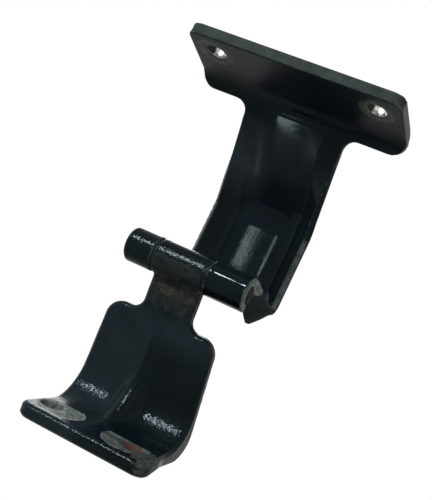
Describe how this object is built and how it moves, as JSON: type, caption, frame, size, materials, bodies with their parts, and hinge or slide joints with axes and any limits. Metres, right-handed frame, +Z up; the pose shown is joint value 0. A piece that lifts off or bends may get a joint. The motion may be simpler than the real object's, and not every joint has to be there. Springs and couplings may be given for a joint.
{
  "type": "car door hinge",
  "caption": "Car door hinge: pressed pillar leaf with a dished goose-neck arm rolled over a headed pin, and a forged door leaf with a bent foot.",
  "frame": {"origin": "on the mounting face of the pillar flange, halfway between its two bolt holes", "axes": "+Z up along the hinge pin with its head on top, +Y out of the mounting face into the pillar, +X the side both flanges point to"},
  "size_m": [0.0797, 0.1885, 0.105],
  "materials": {
    "black_paint_pillar": "gloss black paint, worn at the bolt holes",
    "black_paint_door": "gloss black paint, rust stained near the eye",
    "pin_steel": "black paint, rusty bare end",
    "bush_bronze": "dull bronze"
  },
  "bodies": {
    "pillar_side": {"pillar_leaf": "black_paint_pillar", "hinge_pin": "pin_steel"},
    "door_side": {"door_leaf": "black_paint_door", "bush_upper": "bush_bronze", "bush_lower": "bush_bronze"}
  },
  "joints": [
    {"name": "door_swing", "type": "hinge", "parent": "pillar_side", "child": "door_side", "pos_m": [-0.0126, -0.0993, 0], "axis": [0, 0, 1], "range_deg": [-50, 170]}
  ]
}
